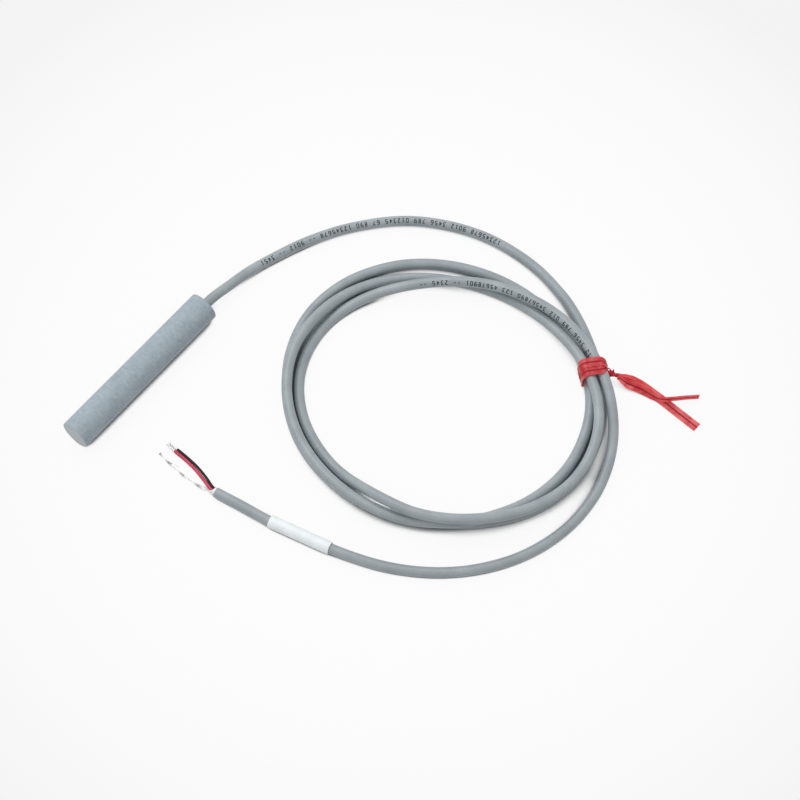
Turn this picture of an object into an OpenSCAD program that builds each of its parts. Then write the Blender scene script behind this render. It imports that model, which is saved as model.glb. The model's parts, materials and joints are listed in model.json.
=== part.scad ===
// Plain round distance probe, sealed, with its cable in a tied coil of three loops.
// The barrel lies on the floor along X with its sensing face at +X, and the origin
// is on the floor under its middle. All sizes are in millimetres.

/* [Barrel] */
// Outer diameter of the barrel
barrel_d = 12.7; // [10.5:0.1:20]
// Length of the barrel
barrel_len = 76; // [63:1:120]
// Thickness of the barrel's wall
barrel_wall = 1.5; // [1:0.1:1.8]
// Thickness of the closed front wall that the sound passes through
window_t = 2; // [1:0.1:4]
// Chamfer on the barrel's two outer rims
rim_chamfer = 0.3; // [0.1:0.05:0.8]

/* [Rear plug] */
// Thickness of the plug that closes the barrel
plug_t = 5; // [3:0.5:8]
// Radial clearance between the plug and the barrel's bore
plug_clear = 0.05; // [0.02:0.01:0.2]
// Radial clearance of the cable in the plug and in its anchor ring
cable_clear = 0.05; // [0.02:0.01:0.2]

/* [Transducer] */
// Thickness of the matching layer on the front wall
match_t = 0.6; // [0.3:0.1:1.5]
// Thickness of the piezo disc
piezo_t = 2; // [1:0.1:4]
// Thickness of the damper behind the disc
damper_t = 4; // [2:0.5:6]
// Thickness of the isolation sleeve round the disc and the damper
isolation_t = 0.6; // [0.3:0.1:1]
// Radial clearance inside and outside the isolation sleeve
isolation_clear = 0.05; // [0.02:0.01:0.2]
// Diameter of the two transducer wires
piezo_wire_d = 0.4; // [0.2:0.05:0.6]
// Distance between the two transducer wires
piezo_wire_pitch = 3; // [2:0.1:4]
// Radial clearance of the transducer wires in the damper
piezo_wire_clear = 0.05; // [0.02:0.01:0.1]

/* [Board] */
// Thickness of the board
board_t = 1; // [0.6:0.1:1.4]
// Clearance between the board with its parts and the bore
board_clear = 0.3; // [0.2:0.05:0.5]
// Room between the damper and the board
board_front_room = 3; // [2:0.5:6]
// Room between the board and the cut jacket, where the cores run free
board_rear_room = 6; // [4:0.5:12]
// Width and length of the pulse transformer
transformer_w = 4.6; // [3:0.1:5]
// Thickness of a solder pad
pad_t = 0.1; // [0.05:0.01:0.2]
// Length of a solder joint
solder_len = 2; // [1:0.1:2.5]
// Gap between the potting and the pieces in it
pot_gap = 0.05; // [0.02:0.01:0.1]

/* [Cable] */
// Outer diameter of the cable
cable_d = 4.4; // [3.6:0.1:5.4]
// Length of jacket in the potting, past the plug
stub_in = 5; // [4:0.5:8]
// Diameter of an insulated core
core_d = 1.3; // [1:0.05:1.4]
// Diameter of a core's bare strands
strands_d = 0.75; // [0.5:0.05:0.9]
// Diameter of the bare drain wire
drain_d = 0.7; // [0.4:0.05:0.8]
// Length of the bare tip on each lead
tip_len = 4.5; // [3:0.1:8]
// Wall of the anchor ring
anchor_wall = 0.9; // [0.6:0.1:1]
// Length of the anchor ring
anchor_len = 3; // [2:0.5:4]

/* [Coil] */
// Mean radius of the loops
coil_r = 56.3; // [46:0.1:70]
// How far the loops are out of round
coil_oval = 4.8; // [0:0.1:6]
// Direction of the loops' long axis, in degrees
oval_axis = 121; // [0:1:179]
// Gap between strands that lie beside or on each other
strand_gap = 0.6; // [0.5:0.05:1]

/* [Marker sleeve] */
// Length of the sleeve on the cable's tail
sleeve_len = 26.6; // [15:0.1:27]
// Wall of the sleeve
sleeve_t = 0.4; // [0.2:0.05:0.6]
// Radial clearance of the cable in the sleeve
sleeve_clear = 0.05; // [0.02:0.01:0.1]

/* [Tie] */
// Width of the tie's ribbon
ribbon_w = 4; // [3:0.1:5]
// Thickness of the tie's ribbon
ribbon_t = 0.5; // [0.3:0.05:0.7]
// Length along the cables that the band covers with its two wraps
band_w = 7; // [4:0.1:8]
// Thickness of the band
band_t = 0.6; // [0.4:0.05:0.7]
// Clearance between the band and the cables
band_clear = 0.3; // [0.2:0.05:0.5]
// Diameter of the tie's twisted neck
neck_d = 2.4; // [1.5:0.1:3]

/* [Hidden] */
$fn = 64;
// Overshoot of every cut
cut = 1;

// Barrel: radii, and places along X from the sensing face to the rear
axis_z = barrel_d / 2;
bore_r = barrel_d / 2 - barrel_wall;
front_x = barrel_len / 2;
rear_x = -front_x;
bore_x = front_x - window_t;
piezo_x = bore_x - match_t;
damper_x = piezo_x - piezo_t;
stack_x = damper_x - damper_t;
plug_x = rear_x + plug_t;
stub_x = plug_x + stub_in;

// Transducer
isolation_r = bore_r - isolation_clear;
piezo_r = isolation_r - isolation_t - isolation_clear;

// Board: ends, half width, and height left over a part of a given width
board_front = stack_x - board_front_room;
board_rear = stub_x + board_rear_room;
board_len = board_front - board_rear;
inner_r = bore_r - board_clear;
board_half_w = sqrt(inner_r ^ 2 - (board_t / 2) ^ 2);
transformer_h = sqrt(inner_r ^ 2 - (transformer_w / 2) ^ 2) - board_t / 2 - board_clear;

// Board parts: size, X and Y of the centre, and side, 1 on top and -1 underneath.
// The distances along X are from the board's nearer end.
transformer_box = [[transformer_w, transformer_w, transformer_h], [board_front - 6, 0], 1];
amplifier_box = [[3, 4.8, 1], [board_front - 13, 0], 1];
capacitor_box = [[3.5, 2.8, 1.9], [board_rear + 9, 0], 1];
controller_box = [[5, 5.2, 0.9], [board_front - 9, 0], -1];
crystal_box = [[3.2, 1.5, 0.8], [board_front - 15, 0], -1];
regulator_box = [[3, 2.6, 1.1], [board_rear + 8, 0], -1];
// Rows of small chip parts: size, distance from the middle line, and steps along X
small_size = [1, 0.5, 0.5];
small_y = 1.2;
small_steps = [0 : 2 : 6];
chip_capacitor_boxes = [for (step = small_steps) [small_size, [board_front - 17 - step, small_y], 1]];
chip_resistor_boxes = [for (step = small_steps) [small_size, [board_front - 19 - step, -small_y], -1]];

// Wires in the barrel: Y and height over the axis of the wires on the board's pads
function on_pad(d) = board_t / 2 + pad_t + d / 2;
core_gap = 0.4;
core_y = (core_d + core_gap) / 2;
core_z = on_pad(strands_d);
drain_z = -on_pad(drain_d);
piezo_wire_y = piezo_wire_pitch / 2;
piezo_wire_z = on_pad(piezo_wire_d);
strip_len = 0.5;
insulation_x = board_rear - strip_len;
// Solder that stands out on each side of a wire
solder_foot = 0.3;
pad_margin = 1;
rear_pad_x = board_rear + pad_margin;
front_pad_x = board_front - pad_margin - solder_len;

// Cable: everything behind the barrel is measured from the middle of its rear face
cable_r = cable_d / 2;
anchor_d = cable_d + 2 * (cable_clear + anchor_wall);
pitch = cable_d + strand_gap;
cable_sides = 10;
lead_sides = 8;
coil_sides = 6;

// Route of the lead-out: behind the rear face, sideways, share of the barrel's axis height
leadout_points = [
    [0, 0, 1], [-4, 0, 1], [-9, 0.5, 0.84], [-15, 1, 0.55], [-20.3, 1.5, 0.34], [-25.4, 2.3, 0.17],
    [-30.4, 3.4, 0.05], [-36, 5.2, 0], [-46, 8.7, 0], [-55, 12.8, 0], [-64, 17.9, 0], [-72, 23.6, 0],
    [-79.6, 30.1, 0], [-86.2, 37.4, 0], [-92, 46.2, 0], [-96.6, 55.5, 0], [-99.9, 65.3, 0],
    [-101.7, 75.2, 0], [-102.3, 85, 0], [-101.8, 94, 0]];

// Route of the tail: behind the rear face, sideways, share of the sleeve's lift
tail_points = [
    [-28, 171.7, 0], [-17, 170.4, 0], [-7, 167.6, 0], [2.5, 163.3, 0], [11.5, 157.5, 0],
    [19.5, 150.7, 0], [26.8, 142.6, 0], [33, 133.7, 0], [38, 124.5, 0.2], [41.7, 115.6, 0.7]];
sleeve_stretch = [[44.3, 108.3, 1], [52, 79.7, 1]];
tail_end_points = [[53.6, 70.5, 0.5], [56.2, 57.2, 0]];

// Places of the three wires in the cut jacket: to the side and up from its middle
black_seat = [-1, 0.5];
red_seat = [0.45, 0.6];
drain_seat = [0.9, -0.8];
// Length that a wire runs straight out of the jacket
wire_out = 1.5;
// Routes of the wires past that
black_points = [[54.1, 50, 2.5], [52.9, 44, 2], [52.4, 38, 1.5], [52.3, 33, 1.2]];
red_points = [[55.8, 50, 2], [55.3, 44, 1.5], [54.6, 38, 1.1], [54.2, 33, 0.9]];
drain_points = [[57.9, 53, 1], [58.8, 48.5, 0.7], [59.1, 41.5, 0.5], [58.8, 34, 0.5], [58.3, 28.6, 0.5]];

// Lay of the three loops: degrees travelled from its start, cable widths out from the mean
// loop, and cable heights up from the floor
lay = [
    [-45, 2.66, 0], [-30, 1.69, 0], [-20, 1.04, 0], [-10, 0.45, 0.08], [0, 0.11, 0.2], [15, 0.02, 0.15],
    [30, 0.06, 0], [45, 0.3, 0], [60, 0.55, 0], [75, 0.67, 0], [90, 0.69, 0], [105, 0.74, 0],
    [120, 0.87, 0], [140, 0.9, 0], [165, 0.84, 0], [195, 0.88, 0], [210, 1.16, 0], [225, 1.49, 0],
    [240, 1.64, 0], [255, 1.61, 0], [270, 1.48, 0], [290, 1.07, 0], [310, 0.5, 0], [325, -0.01, 0],
    [345, -0.73, 0.02], [360, -0.96, 0.2], [375, -0.99, 0.15], [395, -0.93, 0], [415, -0.42, 0.47],
    [435, 0.28, 0.95], [460, 1, 1.05], [480, 1.35, 1.05], [495, 1.32, 1.05], [520, 1.01, 1.05],
    [540, 0.87, 1.05], [570, 0.8, 1.05], [585, 0.6, 0.9], [600, 0.6, 0.35], [615, 0.48, 0],
    [630, 0.16, 0], [640, -0.05, 0], [665, -0.55, 0], [690, -1.11, 0.45], [705, -1.33, 1],
    [720, -1.12, 1.22], [735, -0.57, 1.15], [750, -0.01, 1.05], [770, 0.6, 1.05], [790, 0.99, 1.6],
    [810, 1.18, 2.12], [825, 1.2, 2.2], [838, 1.05, 2.12], [850, 0.66, 1.92], [862, 0.18, 1.1],
    [875, -0.1, 0.22], [888, -0.19, 0], [905, -0.15, 0], [920, -0.09, 0], [935, -0.13, 0],
    [950, -0.25, 0], [975, -0.68, 0.5], [990, -0.78, 0.8], [1000, -0.72, 0.95], [1020, -0.52, 1.1],
    [1045, -0.51, 1.35], [1065, -0.34, 1.4], [1080, -0.05, 1.25], [1095, 0.47, 1.1], [1110, 1.28, 0.25],
    [1125, 2.13, 0], [1140, 2.98, 0]];
coil_middle = [-36.2, 99.5, 0];
lay_angle = 144;
// Middle of the tie's band, in degrees travelled from the lay's start
band_turn = 4.5;
coil_start = -24;
coil_stop = 1126;
loop_rings = 24;
ring_step = 360 / loop_rings;

function unit(v) = v / norm(v);

// Smooth value of column c of the lay, u degrees after its start
function slope(k, c) =
    let(a = max(k - 1, 0), b = min(k + 1, len(lay) - 1))
    (lay[b][c] - lay[a][c]) / (lay[b][0] - lay[a][0]);
function span(u) = max([for (k = [0 : len(lay) - 2]) if (lay[k][0] <= u) k]);
function eased(u, c) =
    let(k = span(u), h = lay[k + 1][0] - lay[k][0], s = (u - lay[k][0]) / h)
    (2 * s ^ 3 - 3 * s ^ 2 + 1) * lay[k][c] + (s ^ 3 - 2 * s ^ 2 + s) * h * slope(k, c)
    + (3 * s ^ 2 - 2 * s ^ 3) * lay[k + 1][c] + (s ^ 3 - s ^ 2) * h * slope(k + 1, c);

// Middle of the cable in the coil, u degrees after the lay's start
function loop_r(u) = coil_r + coil_oval * cos(2 * (lay_angle - u - oval_axis)) + pitch * eased(u, 1);
function loop_z(u) = cable_r + pitch * max(eased(u, 2), 0);
function loop_point(u) =
    coil_middle + [loop_r(u) * cos(lay_angle - u), loop_r(u) * sin(lay_angle - u), loop_z(u)];
function level(v) = unit([v[0], v[1], 0]);
function loop_way(u) = level(loop_point(u + 0.5) - loop_point(u - 0.5));

// Coil: straight for one diameter at both ends, with its rings at even angles between
coil_in = loop_point(coil_start) - cable_d * loop_way(coil_start);
coil_out = loop_point(coil_stop) + cable_d * loop_way(coil_stop);
coil_path = concat(
    [coil_in],
    [loop_point(coil_start)],
    [for (u = [-ring_step : ring_step : coil_stop - 1]) loop_point(u)],
    [loop_point(coil_stop)],
    [coil_out]);

// Least gap of the coil to itself, measured on points along every stretch between rings
function to_stretch(p, a, b) =
    let(d = b - a, s = max(0, min(1, (p - a) * d / (d * d))))
    norm(p - a - s * d);
coil_gap = min([
    for (i = [0 : len(coil_path) - 2], s = [0 : 0.25 : 0.75])
    let(p = (1 - s) * coil_path[i] + s * coil_path[i + 1])
    for (j = [i + loop_rings / 2 : 1 : len(coil_path) - 2])
    to_stretch(p, coil_path[j], coil_path[j + 1])]) - cable_d;
echo(str("Least gap of the coil to itself: ", coil_gap, " mm"));

// Whole routes of the lead-out and the tail, from the barrel and from the coil
sleeve_lift = sleeve_t + sleeve_clear;
leadout_path = concat(
    [for (p = leadout_points) [p[0], p[1], cable_r + p[2] * (axis_z - cable_r)]],
    [coil_in - cable_d * loop_way(coil_start), coil_in]);
tail_path = concat(
    [coil_out, coil_out + cable_d * loop_way(coil_stop)],
    [for (p = concat(tail_points, sleeve_stretch, tail_end_points))
        [p[0], p[1], cable_r + p[2] * sleeve_lift]]);
tail_last = len(tail_path) - 1;
jacket_end = tail_path[tail_last];
jacket_way = unit(jacket_end - tail_path[tail_last - 1]);

// Route of a wire that comes out of the cut jacket
function seat_point(seat) =
    let(side = unit(cross([0, 0, 1], jacket_way)), up = cross(jacket_way, side))
    jacket_end + seat[0] * side + seat[1] * up;
function wire_path(seat, points) =
    concat([seat_point(seat), seat_point(seat) + wire_out * jacket_way], points);

// Tie: the space that the bundle takes, across and up, over the width of the band
band_half_turn = band_w / 2 / coil_r * 180 / PI;
bundle_turns = [for (turn = [0 : 360 : 1080], u = [-1 : 0.5 : 1])
    turn + band_turn + u * band_half_turn];
bundle_low_r = min([for (u = bundle_turns) loop_r(u)]) - cable_r - band_clear;
bundle_high_r = max([for (u = bundle_turns) loop_r(u)]) + cable_r + band_clear;
bundle_top = max([for (u = bundle_turns) loop_z(u)]) + cable_r + band_clear;
bundle_w = bundle_high_r - bundle_low_r;
bundle_h = bundle_top - band_t;
band_corner = cable_r;
neck_points = [[-87.1, 140.9, 5.2], [-86.4, 143.7, 4.2], [-86.5, 149, 2.6], [-87.3, 155.5, 1.5]];
flat_tail_points = [[-87.6, 156.2, 0.3], [-88.2, 165, 0.3], [-88.8, 174, 0.3], [-89.1, 183.2, 0.3]];
edge_tail_points = [[-87.6, 156.4, 2.7], [-89, 162, 2.7], [-91, 166.8, 2.7], [-95.5, 171.2, 2.4],
    [-100.5, 175.5, 2.3]];

// Tube or ribbon swept along a route: a section's points lie to the side and up
function route_way(path, i) = unit(path[min(i + 1, len(path) - 1)] - path[max(i - 1, 0)]);
function ring_points(at, way, section) =
    let(side = unit(cross([0, 0, 1], way)), up = cross(way, side))
    [for (q = section) at + q[0] * side + q[1] * up];
function round_section(d, sides) =
    [for (i = [0 : sides - 1]) d / 2 * [sin(i * 360 / sides), cos(i * 360 / sides)]];
function flat_section(w, t) = [[-w / 2, t / 2], [w / 2, t / 2], [w / 2, -t / 2], [-w / 2, -t / 2]];

module swept(path, section) {
    n = len(section);
    last = len(path) - 1;
    points = [for (i = [0 : last]) each ring_points(path[i], route_way(path, i), section)];
    sides = [for (i = [0 : last - 1], j = [0 : n - 1])
        let(a = i * n + j, b = i * n + (j + 1) % n)
        each [[a, b, b + n], [a, b + n, a + n]]];
    caps = [for (j = [1 : n - 2]) each [[0, j + 1, j], [last * n, last * n + j, last * n + j + 1]]];
    polyhedron(points, concat(sides, caps));
}

// Places a piece behind the barrel, measured from its rear face
module behind() {
    translate([rear_x, 0, 0]) children();
}

// Round bar along the barrel's axis, or beside and over it
module bar(d, from_x, to_x, y = 0, z = 0) {
    translate([from_x, y, axis_z + z]) rotate([0, 90, 0]) cylinder(d = d, h = to_x - from_x);
}

// Straight round wire between two points
module straight_wire(d, from, to) {
    way = to - from;
    translate(from)
        rotate([0, acos(way[2] / norm(way)), atan2(way[1], way[0])])
        cylinder(d = d, h = norm(way));
}

// Block on the board, given its size, place and side, as a body or grown as its pocket
module block(box, grow = 0) {
    size = box[0];
    low = box[2] > 0 ? board_t / 2 : -board_t / 2 - size[2];
    translate([box[1][0] - size[0] / 2 - grow, box[1][1] - size[1] / 2 - grow, axis_z + low - grow])
        cube(size + 2 * grow * [1, 1, 1]);
}

// Chip: a body in the middle of its block, and legs to the block's two long sides
module chip(box, legs, leg_w) {
    size = box[0];
    body_w = 0.75 * size[1];
    leg_h = 0.3 * size[2];
    leg_pitch = size[0] / legs;
    block([[size[0], body_w, size[2]], box[1], box[2]]);
    for (i = [0 : legs - 1]) {
        x = box[1][0] + (i - (legs - 1) / 2) * leg_pitch;
        block([[leg_w, size[1], leg_h], [x, box[1][1]], box[2]]);
    }
}

module barrel() {
    flank = barrel_d / 2 - rim_chamfer;
    color([0.62, 0.66, 0.69])
    difference() {
        translate([rear_x, 0, axis_z])
            rotate([0, 90, 0])
            rotate_extrude()
            polygon([[0, 0], [flank, 0], [barrel_d / 2, rim_chamfer],
                [barrel_d / 2, barrel_len - rim_chamfer], [flank, barrel_len], [0, barrel_len]]);
        bar(2 * bore_r, rear_x - cut, bore_x);
    }
}

module rear_plug() {
    color([0.55, 0.58, 0.61])
    difference() {
        bar(2 * (bore_r - plug_clear), rear_x, plug_x);
        bar(cable_d + 2 * cable_clear, rear_x - cut, plug_x + cut);
    }
}

module matching_layer() {
    color([0.85, 0.83, 0.75])
    bar(2 * piezo_r, piezo_x, bore_x);
}

module piezo_disc() {
    color([0.8, 0.78, 0.7])
    bar(2 * piezo_r, damper_x, piezo_x);
}

module damper() {
    color([0.2, 0.2, 0.22])
    difference() {
        bar(2 * piezo_r, stack_x, damper_x);
        for (y = [-piezo_wire_y, piezo_wire_y])
            bar(piezo_wire_d + 2 * piezo_wire_clear, stack_x - cut, damper_x + cut, y, piezo_wire_z);
    }
}

module isolation_sleeve() {
    color([0.62, 0.45, 0.3])
    difference() {
        bar(2 * isolation_r, stack_x, bore_x);
        bar(2 * (piezo_r + isolation_clear), stack_x - cut, bore_x + cut);
    }
}

module transducer_wires() {
    color([0.8, 0.5, 0.3])
    for (y = [-piezo_wire_y, piezo_wire_y]) bar(piezo_wire_d, front_pad_x, damper_x, y, piezo_wire_z);
}

module circuit_board(grow = 0) {
    color([0.1, 0.35, 0.2])
    translate([board_rear - grow, -board_half_w - grow, axis_z - board_t / 2 - grow])
        cube([board_len + 2 * grow, 2 * (board_half_w + grow), board_t + 2 * grow]);
}

module pulse_transformer() {
    base_h = transformer_h / 4;
    spool_d = 0.6 * transformer_w;
    cap_d = 0.95 * transformer_w;
    at = [transformer_box[1][0], transformer_box[1][1], axis_z + board_t / 2];
    color([0.25, 0.25, 0.27])
    union() {
        block([[transformer_w, transformer_w, base_h], transformer_box[1], 1]);
        translate(at) cylinder(d = spool_d, h = transformer_h);
        translate(at + [0, 0, transformer_h - base_h]) cylinder(d = cap_d, h = base_h);
    }
}

module controller_chip() {
    color([0.12, 0.12, 0.13])
    chip(controller_box, 8, 0.3);
}

module amplifier_chip() {
    color([0.12, 0.12, 0.13])
    chip(amplifier_box, 4, 0.35);
}

module clock_crystal() {
    size = crystal_box[0];
    lid_step = 0.2;
    lid = size - 2 * lid_step * [1, 1, 0];
    color([0.75, 0.76, 0.78])
    union() {
        block([[size[0], size[1], size[2] / 2], crystal_box[1], crystal_box[2]]);
        block([lid, crystal_box[1], crystal_box[2]]);
    }
}

module loop_regulator() {
    color([0.14, 0.14, 0.15])
    chip(regulator_box, 3, 0.45);
}

module storage_capacitor() {
    color([0.8, 0.6, 0.2])
    block(capacitor_box);
}

module chip_capacitors() {
    color([0.7, 0.6, 0.45])
    for (box = chip_capacitor_boxes) block(box);
}

module chip_resistors() {
    color([0.15, 0.15, 0.16])
    for (box = chip_resistor_boxes) block(box);
}

// Solder under one wire's end, from the pad to the wire's middle
module solder(x, y, d, side) {
    color([0.72, 0.73, 0.75])
    difference() {
        block([[solder_len, d + 2 * solder_foot, pad_t + d / 2], [x + solder_len / 2, y], side]);
        bar(d, x - cut, x + solder_len + cut, y, side * on_pad(d));
    }
}

module solder_joints() {
    for (y = [-core_y, core_y]) solder(rear_pad_x, y, strands_d, 1);
    solder(rear_pad_x, 0, drain_d, -1);
    for (y = [-piezo_wire_y, piezo_wire_y]) solder(front_pad_x, y, piezo_wire_d, 1);
}

// Core from the cut jacket to its pad: insulated up to the board, then bare
module core(y) {
    bar(core_d, stub_x, insulation_x, y, core_z);
    bar(strands_d, stub_x, rear_pad_x + solder_len, y, core_z);
}

module red_core() {
    color([0.75, 0.15, 0.2])
    core(core_y);
}

module black_core() {
    color([0.1, 0.1, 0.1])
    core(-core_y);
}

module drain_core() {
    color([0.75, 0.76, 0.77])
    bar(drain_d, stub_x, rear_pad_x + solder_len, 0, drain_z);
}

module cable_stub() {
    color([0.6, 0.63, 0.66])
    bar(cable_d, rear_x, stub_x);
}

module anchor_ring() {
    color([0.9, 0.9, 0.88])
    difference() {
        bar(anchor_d, plug_x, plug_x + anchor_len);
        bar(cable_d + 2 * cable_clear, plug_x - cut, plug_x + anchor_len + cut);
    }
}

// Space in the potting for a bare wire on its pads, with its solder
module wire_pocket(from_x, to_x, y, d, side) {
    size = [to_x - from_x, d + 2 * solder_foot, pad_t + d];
    block([size, [(from_x + to_x) / 2, y], side], pot_gap);
}

module potting() {
    boxes = concat([transformer_box, amplifier_box, capacitor_box, controller_box, crystal_box,
        regulator_box], chip_capacitor_boxes, chip_resistor_boxes);
    rear_wire_end = rear_pad_x + solder_len;
    color([0.3, 0.3, 0.32])
    difference() {
        bar(2 * (bore_r - pot_gap), plug_x + pot_gap, stack_x - pot_gap);
        circuit_board(pot_gap);
        for (box = boxes) block(box, pot_gap);
        for (y = [-core_y, core_y]) {
            bar(core_d + 2 * pot_gap, stub_x, insulation_x + pot_gap, y, core_z);
            wire_pocket(insulation_x, rear_wire_end, y, strands_d, 1);
        }
        wire_pocket(stub_x, rear_wire_end, 0, drain_d, -1);
        for (y = [-piezo_wire_y, piezo_wire_y]) wire_pocket(front_pad_x, stack_x, y, piezo_wire_d, 1);
        bar(cable_d + 2 * pot_gap, rear_x, stub_x + pot_gap);
        bar(anchor_d + 2 * pot_gap, plug_x, plug_x + anchor_len + pot_gap);
    }
}

module cable_leadout() {
    color([0.6, 0.63, 0.66])
    behind() swept(leadout_path, round_section(cable_d, cable_sides));
}

module cable_coil() {
    color([0.6, 0.63, 0.66])
    behind() swept(coil_path, round_section(cable_d, coil_sides));
}

module cable_tail() {
    color([0.6, 0.63, 0.66])
    behind() swept(tail_path, round_section(cable_d, cable_sides));
}

module marker_sleeve() {
    lift = [0, 0, cable_r + sleeve_lift];
    from = [sleeve_stretch[0][0], sleeve_stretch[0][1], 0] + lift;
    to = [sleeve_stretch[1][0], sleeve_stretch[1][1], 0] + lift;
    half = sleeve_len / 2 * unit(to - from);
    over = cut * unit(to - from);
    middle = (from + to) / 2;
    bore_d = cable_d + 2 * sleeve_clear;
    color([0.93, 0.95, 0.96])
    behind() difference() {
        straight_wire(bore_d + 2 * sleeve_t, middle - half, middle + half);
        straight_wire(bore_d, middle - half - over, middle + half + over);
    }
}

module red_lead() {
    color([0.75, 0.15, 0.2])
    behind() swept(wire_path(red_seat, red_points), round_section(core_d, lead_sides));
}

module black_lead() {
    color([0.1, 0.1, 0.1])
    behind() swept(wire_path(black_seat, black_points), round_section(core_d, lead_sides));
}

// Bare tip that goes straight on from the end of a lead's route
module tip(points) {
    end = points[len(points) - 1];
    way = unit(end - points[len(points) - 2]);
    color([0.78, 0.78, 0.77])
    behind() straight_wire(strands_d, end, end + tip_len * way);
}

module red_tip() {
    tip(red_points);
}

module black_tip() {
    tip(black_points);
}

module drain_wire() {
    color([0.78, 0.78, 0.77])
    behind() swept(wire_path(drain_seat, drain_points), round_section(drain_d, lead_sides));
}

// Rounded rectangle with its lower edge on the X axis
module band_outline(w, h, corner) {
    translate([-w / 2 + corner, 0]) square([w - 2 * corner, h]);
    translate([-w / 2, corner]) square([w, h - 2 * corner]);
    for (x = [-1, 1], y = [corner, h - corner])
        translate([x * (w / 2 - corner), y]) circle(corner);
}

module tie_band() {
    color([0.8, 0.15, 0.2])
    behind()
    translate(coil_middle)
    rotate([0, 0, lay_angle - band_turn])
    translate([(bundle_low_r + bundle_high_r) / 2, band_w / 2, 0])
    rotate([90, 0, 0])
    linear_extrude(band_w)
    difference() {
        band_outline(bundle_w + 2 * band_t, bundle_h + 2 * band_t, band_corner + band_t);
        translate([0, band_t]) band_outline(bundle_w, bundle_h, band_corner);
    }
}

module tie_neck() {
    color([0.8, 0.15, 0.2])
    behind() swept(neck_points, round_section(neck_d, lead_sides));
}

module tie_flat_tail() {
    color([0.85, 0.2, 0.25])
    behind() swept(flat_tail_points, flat_section(ribbon_w, ribbon_t));
}

module tie_edge_tail() {
    color([0.7, 0.1, 0.15])
    behind() swept(edge_tail_points, flat_section(ribbon_t, ribbon_w));
}

barrel();
rear_plug();
matching_layer();
piezo_disc();
damper();
isolation_sleeve();
transducer_wires();
circuit_board();
pulse_transformer();
controller_chip();
amplifier_chip();
clock_crystal();
loop_regulator();
storage_capacitor();
chip_capacitors();
chip_resistors();
solder_joints();
potting();
cable_stub();
anchor_ring();
red_core();
black_core();
drain_core();
cable_leadout();
cable_coil();
cable_tail();
marker_sleeve();
red_lead();
black_lead();
red_tip();
black_tip();
drain_wire();
tie_band();
tie_neck();
tie_flat_tail();
tie_edge_tail();
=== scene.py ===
import json
import random
from math import cos, exp, pi, radians, sin, sqrt
import bmesh
import bpy
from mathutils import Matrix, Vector, noise


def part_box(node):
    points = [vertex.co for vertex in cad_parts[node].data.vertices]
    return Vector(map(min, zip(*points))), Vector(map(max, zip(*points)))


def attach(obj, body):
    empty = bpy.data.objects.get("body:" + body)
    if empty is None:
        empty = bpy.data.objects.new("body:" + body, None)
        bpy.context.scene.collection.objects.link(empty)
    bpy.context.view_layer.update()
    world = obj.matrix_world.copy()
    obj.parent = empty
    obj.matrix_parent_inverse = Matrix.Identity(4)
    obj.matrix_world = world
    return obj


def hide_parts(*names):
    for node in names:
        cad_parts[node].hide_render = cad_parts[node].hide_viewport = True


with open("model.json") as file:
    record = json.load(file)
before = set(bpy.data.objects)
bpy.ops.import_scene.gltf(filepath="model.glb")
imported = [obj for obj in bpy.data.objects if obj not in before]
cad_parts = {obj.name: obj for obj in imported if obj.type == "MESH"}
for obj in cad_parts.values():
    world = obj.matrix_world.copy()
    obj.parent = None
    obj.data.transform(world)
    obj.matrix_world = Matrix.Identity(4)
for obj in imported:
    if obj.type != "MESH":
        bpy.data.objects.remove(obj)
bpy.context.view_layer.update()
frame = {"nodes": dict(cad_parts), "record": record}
scene = bpy.context.scene
nodes = frame["nodes"]
mm = 0.001
upright = Vector((0, 0, 1))
white = (1, 1, 1, 1)
barrelLow, barrelHigh = [Vector(c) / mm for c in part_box("barrel")]
rear = Vector((barrelLow.x, 0, 0))  # the cable's routes are measured from here, in mm
axisZ = (barrelLow.z + barrelHigh.z) / 2
print("frame:", len(nodes), "nodes")

# camera, places in mm
view = {
    "eye": (315.99, 411.29, 1091.85),
    "target": (-60.186, 85.158, 0.0),
    "lens": 135.0,
    "sensor": 36.0,
    "clip": (0.05, 30.0),  # in m
}


def addObject(name, data):
    made = bpy.data.objects.new(name, data)
    scene.collection.objects.link(made)
    return made


def aimedAt(place, target):
    return (Vector(target) - Vector(place)).to_track_quat("-Z", "Y").to_euler()


def makeCamera():
    data = bpy.data.cameras.new("photoCamera")
    data.lens = view["lens"]
    data.sensor_width = view["sensor"]
    data.clip_start, data.clip_end = view["clip"]
    camera = addObject("photoCamera", data)
    camera.location = Vector(view["eye"]) * mm
    camera.rotation_euler = aimedAt(view["eye"], view["target"])
    scene.camera = camera


makeCamera()
print("camera set")


# routes and meshes, all in mm until meshPiece
def mix(a, b, t):
    return a + (b - a) * t


def easeInOut(t):
    return t * t * (3 - 2 * t)


def runsOf(line):
    # length travelled at each point of a line
    runs = [0.0]
    for a, b in zip(line, line[1:]):
        runs.append(runs[-1] + (b - a).length)
    return runs


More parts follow.
